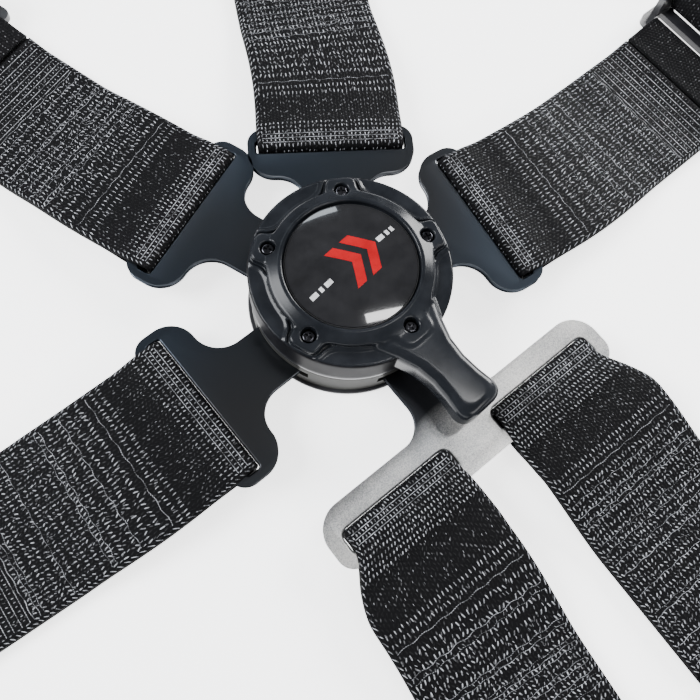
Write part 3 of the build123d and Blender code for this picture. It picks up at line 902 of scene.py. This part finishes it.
class Webbing:
    """A ply of webbing along a path of (x, z), in the frame that place_of gives at each x."""

    def __init__(self, path, place_of, width_of, thick=PLY, step=0.6, sag=None):
        self.line, self.at = resample(path, step)
        ahead = np.gradient(self.line, axis=0)
        self.ahead = ahead / np.hypot(ahead[:, 0], ahead[:, 1])[:, None]
        self.place_of = place_of
        self.width_of = width_of
        self.thick = thick
        self.sag = sag or (lambda x, v: 0.0)
        self.length = self.at[-1]

    def spot(self, x, z, tx, tz, across, lift):
        """The point across the belt and lift out of its middle line."""
        half = self.width_of(x) / 2
        sag = self.sag(x, across / half)
        return self.place_of(x).point(x + tz * (lift - sag), across, z - tx * (lift - sag))

    def surface(self, s, v, lift=0.0):
        """The point at distance s along the path and v (-1 to 1) across its outer face."""
        x = np.interp(s, self.at, self.line[:, 0])
        z = np.interp(s, self.at, self.line[:, 1])
        tx = np.interp(s, self.at, self.ahead[:, 0])
        tz = np.interp(s, self.at, self.ahead[:, 1])
        across = v * (self.width_of(x) / 2 - 0.4)
        return self.spot(x, z, tx, tz, across, self.thick / 2 + lift)

    def mesh(self, name, columns=36, rib=0.1):
        points = []
        uvs = []
        for (x, z), (tx, tz), s in zip(self.line, self.ahead, self.at):
            wave = rib * (abs(math.sin(math.pi * s / RIB)) - 0.7)
            ring = section(self.width_of(x) / 2, self.thick, columns)
            for across, height, v in ring:
                lift = height * (1 + 2 * wave / self.thick)
                points.append(self.spot(x, z, tx, tz, across, lift))
                uvs.append((s / UV_UNIT, (v + (100.0 if height < 0 else 0.0)) / UV_UNIT))
        count = len(ring)
        last = (len(self.line) - 1) * count
        faces = tube_faces(len(self.line), count)
        faces.append(tuple(range(count - 1, -1, -1)))
        faces.append(tuple(range(last, last + count)))
        mesh = mesh_from(name, points, faces)
        add_uv(mesh, uvs)
        return mesh


def dash_mesh(name, runs):
    """Small arched pale dashes: stitches, and painted highlights on the weave. A run is (start, middle, end,
    radius) in metres.
    """
    sides = 6
    points = []
    faces = []
    swell = ((0.0, 0.45), (0.22, 0.95), (0.5, 1.0), (0.78, 0.95), (1.0, 0.45))
    for start, middle, end, radius in runs:
        along = (end - start).normalized()
        up = (middle - (start + end) / 2)
        side = along.cross(up if up.length > 1e-9 else Vector((0, 0, 1))).normalized()
        over = side.cross(along).normalized()
        base = len(points)
        for t, r in swell:
            core = start * (1 - t) ** 2 + middle * 2 * t * (1 - t) + end * t * t
            for k in range(sides):
                a = 2 * math.pi * k / sides
                points.append(core + (side * math.cos(a) + over * math.sin(a)) * radius * r)
        faces += tube_faces(len(swell), sides, base)
        faces.append(tuple(base + k for k in range(sides - 1, -1, -1)))
        faces.append(tuple(base + (len(swell) - 1) * sides + k for k in range(sides)))
    return mesh_from(name, points, faces)


def stitch(web, s, v, long, lean, radius, rise=0.16):
    """One pale dash at (s, v) on the face of a web, long millimetres, leaning across: a stitch in some
    places, a painted highlight in others.
    """
    half = web.width_of(np.interp(s, web.at, web.line[:, 0])) / 2
    ds = long / 2 * math.cos(lean)
    dv = long / 2 * math.sin(lean) / half
    start = web.surface(s - ds, v - dv, -0.12)
    end = web.surface(s + ds, v + dv, -0.12)
    middle = web.surface(s, v, rise * 2)
    return start, middle, end, radius * MM


def face_dashes(web, rng, s_bend, s_dark, s_block, s_ribs, s_end):
    """Pale dashes on the upper face, from the nose of the loop outward along falling s: stitching, and
    painted highlights on the yarn crests, ribs and edges.
    """
    runs = []
    columns = 33
    side = 0.94
    vs = np.linspace(-side, side, columns)

    def row(s, long, spread, radius, chance=1.0, jitter=0.12):
        """Pale dashes that run along the belt, side by side across it: stitches, and painted highlights on
        the yarn crests.
        """
        for v in vs:
            if rng.random() > chance:
                continue
            lean = rng.uniform(-spread, spread)
            runs.append(stitch(web, s + rng.normal(0, jitter), v + rng.normal(0, 0.004), long, lean, radius))

    def line(s, radius, wobble=0.0):
        """One pale line that runs across the belt, stitch by stitch: a stitched seam, and elsewhere a painted
        highlight along a rib.
        """
        phase = rng.uniform(0, 6)
        for i in range(columns * 2 - 2):
            v = -side + 2 * side * (i + 0.5) / (columns * 2 - 2)
            shift = wobble * math.sin(i * 0.7 + phase)
            lean = math.pi / 2 + rng.uniform(-0.25, 0.25)
            runs.append(stitch(web, s + shift, v, 0.95, lean, radius, 0.06))

    pitch = 1.7
    s = s_bend + 5.4
    while s > s_dark:
        strong = s < s_bend + 3.4
        row(s, 0.95, 0.35, 0.17 if strong else 0.12, 1.0 if strong else 0.7)
        if s_bend - 2.2 < s < s_bend + 2.4:
            line(s - pitch / 2, 0.12)
        s -= pitch
    while s > s_block:
        row(s, 0.6, 0.3, 0.07, 0.35)
        s -= pitch
    row(s_block - 0.4, 1.0, 0.25, 0.16)
    row(s_block - 2.2, 1.0, 0.5, 0.16)
    line(s_block - 3.8, 0.09, 0.15)
    s = s_block - 5.9
    k = 0
    while s > s_ribs:
        strong = k % 2 == 0
        row(s, 1.2 if strong else 0.9, 0.8, 0.2 if strong else 0.09, 0.97 if strong else 0.6, 0.16)
        if rng.random() < 0.3:
            line(s - 0.65, 0.07, 0.2)
        s -= 1.34
        k += 1
    line(s_ribs - 0.4, 0.1, 0.2)
    s = s_ribs - 1.6
    while s > s_end:
        line(s, 0.12)
        row(s - 1.15, 0.8, 0.3, 0.12, 0.9, 0.05)
        s -= RIB
    # painted highlights along both edges of the strap
    for edge in (-1, 1):
        for s in np.arange(s_end, s_bend + 2, 1.75):
            runs.append(stitch(web, s, edge * 0.985, 1.7, edge * rng.uniform(0.45, 0.75), 0.13, 0.05))
    return runs


def make_link(name, number):
    """Sewn link strap between a tongue and its adjuster."""
    crotch = name in LEGS
    reach = REACH.get(name, 0.0)
    turn = TURN[name]
    eye = CROTCH_EYE_START if crotch else EYE_START
    bar_end = eye + (CROTCH_EYE_LENGTH if crotch else EYE_LENGTH) + BAR
    nose = eye + PLY / 2 + 0.12
    bend_at = bar_end + SEAM_RUN
    bar_at = ADJUSTER_START + reach
    seam_end = bar_at - (26.0 if crotch else 12.0)
    side = -1 if name == "crotch_right" else 1
    tongue = TONGUES[name] if not crotch else CROTCH.shifted(0, side * (CROTCH_CENTRE + SLOT_WIDTH + 1.0) / 2)
    arc_length = BEND_RADIUS * math.radians(abs(turn))
    pivot = tongue.shifted(bend_at, math.copysign(BEND_RADIUS, turn))

    def place_of(x):
        """Straight in the tongue, then round the sideways bend, then straight again."""
        spread = side * SPREAD * ease(x, bar_end - 5, bend_at + 6) if crotch else 0.0
        share = ease(x, bend_at - 6, bend_at + arc_length + 14)
        here = pivot.shifted(0, 0, turn * share).shifted(-bend_at, -math.copysign(BEND_RADIUS, turn))
        return here.shifted(0, spread)

    if crotch:

        def width_of(x):
            return SLOT_WIDTH + (BELT_WIDTH + 0.6 - SLOT_WIDTH) * ease(x, CROTCH_EYE_START + 4, bend_at + 4)
    else:

        def width_of(x):
            return BELT_WIDTH + 0.6 * (ease(x, EYE_START, bar_end) - ease(x, bend_at, bend_at + 30))

    def sag(x, v):
        return 0.9 * abs(v) ** 5 * ease(x, nose, bar_end) * (1 - ease(x, bar_end, bar_end + 22))

    path = link_path(nose, bar_end, seam_end, bar_at)
    web = Webbing(path, place_of, width_of, sag=sag)
    node = name + "_link_strap"
    body = NODE_BODY[node]
    strap = finish_piece(web.mesh(node + "_webbing"), node + "_webbing", "webbing", body, [node])
    first = web.line[:, 0]
    nose_index = int(np.argmin(first))

    def s_at(x):
        return float(np.interp(-x, -first[:nose_index + 1], web.at[:nose_index + 1]))

    rng = np.random.default_rng(40 + number)
    block = bar_end + (16.0 if crotch else 12.5)
    block_end = seam_end - 1.0 if crotch else 114.0
    dark = bar_end + (5.0 if crotch else 2.0)
    runs = face_dashes(web, rng, s_at(nose + 3.0), s_at(dark), s_at(block), s_at(block_end), 1.2)
    stitches_and_glints = name + "_link_stitches_and_glints"
    threads = finish_piece(dash_mesh(stitches_and_glints, runs), stitches_and_glints, "thread", body)


def stow_path(length):
    """Main webbing: round the lock bar, into flat folds in a block, out to the anchor's bar."""
    wrap = LOCK_RADIUS + 0.3 + PLY / 2
    end = STOW_START + length
    folds = 8
    pitch = (STOW_HEIGHT - PLY) / folds
    low = STOW_LOW + PLY / 2
    turn = pitch / 2
    points = []
    inner = STOW_START + turn + 0.8
    outer = end - turn - 0.8
    top = low + pitch * folds
    start_z = LOCK_HEIGHT - wrap
    for x in np.linspace(STOW_START - 5, LOCK_AT, 14):
        points.append((x, start_z))
    points += [(x + LOCK_AT, z + LOCK_HEIGHT) for x, z in arc(0, 0, wrap, 270, 90, 14)]
    for x in np.linspace(LOCK_AT, inner, 16):
        points.append((x, LOCK_HEIGHT + wrap + (top - LOCK_HEIGHT - wrap) * ease(x, LOCK_AT + 6, inner)))
    for k in range(folds + 1):
        z = top - pitch * k
        out = k % 2 == 0
        wave = 0.12 * math.sin(k * 2.1)
        nudge = 1.1 * math.sin(k * 3.7 + length)
        xs = np.linspace(inner, outer - nudge * (1 if out else 0), 24)
        for x in (xs if out else xs[::-1]):
            points.append((x, z + wave * math.sin((x - inner) / 11.0)))
        if k == folds:
            break
        centre = (outer - nudge, z - turn) if out else (inner, z - turn)
        sweep = (90, -90) if out else (90, 270)
        points += [(x + centre[0], y + centre[1]) for x, y in arc(0, 0, turn, *sweep, 8)][1:-1]
    return points


def finish_path(points, length):
    """The last run of the main webbing, from under the folds to the anchor's bar and back."""
    end = STOW_START + length
    bar_at = end + ANCHOR_BAR
    mid = ANCHOR_LOW + ANCHOR_THICK / 2
    half = PLY / 2 + 0.06
    wrap = ANCHOR_THICK / 2 + GAP + PLY / 2
    turn = bar_at + BAR + GAP + PLY / 2 - wrap

    def spread(x):
        return half + (wrap - half) * ease(x, bar_at - 8.5, bar_at)

    tail = [(x, mid - spread(x)) for x in np.linspace(end + 0.5, bar_at, 12)]
    tail += [(x, z + mid) for x, z in arc(turn, 0, wrap, -90, 90, 14)]
    tail += [(x, mid + spread(x)) for x in np.linspace(bar_at, end + 1, 12)]
    return points + tail


def make_stow(name):
    """The main webbing, stowed in folds between the adjuster and the end plate."""
    node = name + "_strap"
    length = STOW_LENGTHS[name]
    place = PLACES[name]
    path = finish_path(stow_path(length), length)
    web = Webbing(path, lambda x: place, lambda x: BELT_WIDTH, step=1.2)
    mesh = web.mesh(name + "_main_webbing", columns=14, rib=0.08)
    strap = finish_piece(mesh, node + "_webbing", "webbing", NODE_BODY[node], [node])


def make_keeper(name):
    """Elastic loop round the stowed folds, woven with fine lengthwise ribs."""
    node = name + "_keeper"
    place = PLACES[name]
    middle = STOW_START + STOW_LENGTHS[name] / 2
    half = BELT_WIDTH / 2 + 0.3
    low = STOW_LOW - 0.3
    high = STOW_LOW + STOW_HEIGHT + 0.3
    corner = 1.4
    thick = 1.0
    inset = corner - 0.4  # the band's middle line runs 0.4 outside half, low and high
    side = half - inset
    ring = []
    for y, z, start in ((side, high - inset, 90), (side, low + inset, 0),
                        (-side, low + inset, 270), (-side, high - inset, 180)):
        ring += arc(y, z, corner, start, start - 90, 6)
    ring.append(ring[0])
    line, at = resample(ring, 0.8)
    line = line[:-1]
    ahead = np.roll(line, -1, 0) - np.roll(line, 1, 0)
    ahead /= np.hypot(ahead[:, 0], ahead[:, 1])[:, None]
    columns = 44
    across = np.linspace(-KEEPER_WIDTH / 2, KEEPER_WIDTH / 2, columns + 1)
    points = []
    uvs = []
    for (y, z), (ty, tz), s in zip(line, ahead, at):
        for face in (1, -1):
            for i, x in enumerate(across if face > 0 else across[::-1]):
                swell = 0.09 * (i % 2) * (face > 0)
                lift = (thick / 2 if face > 0 else -thick / 2 + 0.1) + swell
                points.append(place.point(middle + x, y + tz * lift, z - ty * lift))
                uvs.append((s / UV_UNIT, x / UV_UNIT + face * 10))
    faces = tube_faces(len(line), 2 * (columns + 1), closed=True)
    mesh = mesh_from(name + "_keeper_elastic", points, faces, sharp=50)
    add_uv(mesh, uvs)
    strap = finish_piece(mesh, node + "_elastic", "elastic", NODE_BODY[node], [node])


# ---- make everything -------------------------------------------------------------------------
make_lever()
make_latch_coils()
make_badge()
make_marks()
for name in BELTS:
    make_tongue(name)
make_crotch_tongue()
for number, name in enumerate(BELTS + LEGS):
    make_link(name, number)
    make_stow(name)
    make_keeper(name)

SLOT_OF = {part["node"]: part["material_slot"] for part in frame["record"]["subparts"]}
for node, piece in frame["nodes"].items():
    piece.data.materials.clear()
    piece.data.materials.append(MATERIALS[SLOT_OF[node]])
    piece.data.polygons.foreach_set("use_smooth", [True] * len(piece.data.polygons))
    piece.data.set_sharp_from_angle(angle=math.radians(30))


# ---- floor, light and camera --------------------------------------------------------------------
def area_light(name, place, target, size, power, colour=(1, 1, 1)):
    data = bpy.data.lights.new(name, "AREA")
    data.shape = "RECTANGLE"
    data.size, data.size_y = size
    data.energy = power
    data.color = colour
    light = bpy.data.objects.new(name, data)
    bpy.context.scene.collection.objects.link(light)
    light.location = place
    light.rotation_euler = (Vector(target) - Vector(place)).to_track_quat("-Z", "Y").to_euler()


floor_material = Nodes("pale_floor")
floor_cloud = floor_material.noise(floor_material.place(), 3.0)
floor_colour = floor_material.ramp(floor_cloud, ((0.3, (0.93, 0.93, 0.93)), (0.7, (0.95, 0.95, 0.95))))
floor_material.join(floor_colour, floor_material.shader.inputs["Base Color"])
floor_material.set(Roughness=0.9, Specular_IOR_Level=0.1, Emission_Color=(1, 1, 1, 1), Emission_Strength=2.4)
FLOOR_HALF = 3.0
floor_low = cad_box[0].z - 0.0002
corners = [(x * FLOOR_HALF, y * FLOOR_HALF, floor_low) for x, y in ((-1, -1), (1, -1), (1, 1), (-1, 1))]
floor_mesh = mesh_from("floor", corners, [(0, 1, 2, 3)], smooth=False)
floor = bpy.data.objects.new("floor", floor_mesh)
floor_mesh.materials.append(floor_material.material)
bpy.context.scene.collection.objects.link(floor)

world = bpy.data.worlds.new("studio")
bpy.context.scene.world = world
world.use_nodes = True
background = world.node_tree.nodes["Background"]
background.inputs["Color"].default_value = (0.95, 0.97, 1.0, 1)
background.inputs["Strength"].default_value = 0.3

area_light("left_box", (-1.0, 0.9, 1.0), (0, 0, 0), (0.9, 0.9), 55, (0.95, 0.97, 1.0))
area_light("right_box", (1.35, 0.1, 0.62), (0, 0, 0), (0.7, 0.7), 46)
area_light("front_box", (0.1, -1.3, 0.9), (0, 0, 0), (1.0, 0.5), 12)
area_light("window", (0.26, -0.12, 0.96), (0, 0, 0.03), (0.06, 0.26), 1.6)
area_light("crescent", (0.19, 0.87, 0.95), (0, 0, 0.03), (0.9, 0.05), 1.6, (0.85, 0.93, 1.0))

camera_data = bpy.data.cameras.new("camera")
camera_data.sensor_width = 36.0
camera_data.lens = 39.28
camera = bpy.data.objects.new("camera", camera_data)
bpy.context.scene.collection.objects.link(camera)
camera.location = (-0.0737, -0.0620, 0.2359)
look = (Vector((-0.01177, -0.01519, 0.006)) - camera.location).to_track_quat("-Z", "Y")
camera.rotation_euler = (look @ Quaternion((0, 0, 1), math.radians(12.59))).to_euler()
bpy.context.scene.camera = camera
